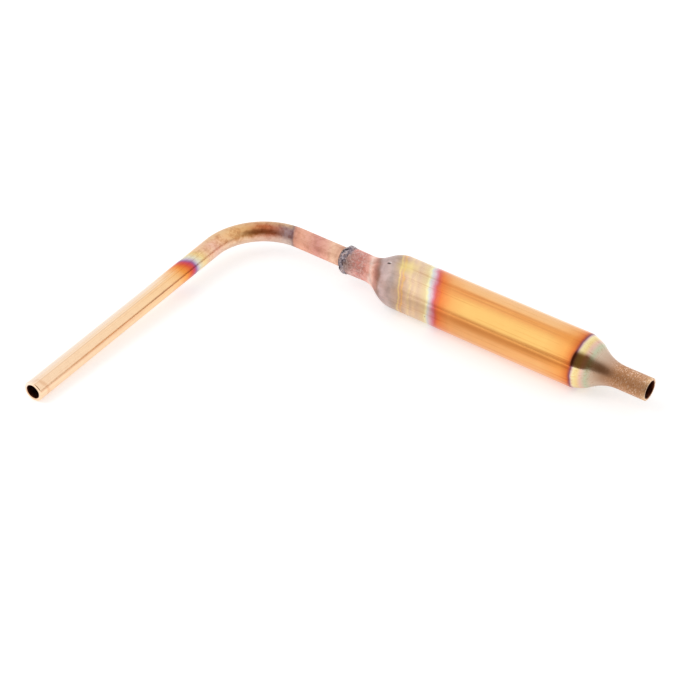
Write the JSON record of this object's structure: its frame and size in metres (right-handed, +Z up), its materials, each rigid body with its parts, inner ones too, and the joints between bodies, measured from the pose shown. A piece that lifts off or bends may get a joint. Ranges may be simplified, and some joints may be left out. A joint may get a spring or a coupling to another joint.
{
  "type": "filter drier",
  "caption": "Spun copper filter drier for a refrigeration circuit, with a brazed inlet tube bent to a right angle and an open outlet neck.",
  "frame": {"origin": "centre of the open outlet neck's mouth, on the shell's axis", "axes": "+X out of the outlet neck's mouth along the shell's axis; +Z up as the drier lies on its belly and the tip of its inlet tube; the bent tube's long leg runs towards -Y"},
  "size_m": [0.139, 0.1069, 0.016],
  "materials": {
    "spun_copper": "polished and heat tinted",
    "drawn_copper": "satin and heat tinted",
    "braze_alloy": "oxidised, lumpy",
    "steel_wire": "drawn wire",
    "steel_band": "pressed strip",
    "sieve_beads": "matt"
  },
  "bodies": {
    "root": {"shell": "spun_copper", "inlet_tube": "drawn_copper", "braze_fillet": "braze_alloy", "inlet_screen": "steel_wire", "inlet_screen_band": "steel_band", "molecular_sieve": "sieve_beads", "outlet_strainer": "steel_wire", "outlet_strainer_band": "steel_band"}
  },
  "joints": []
}
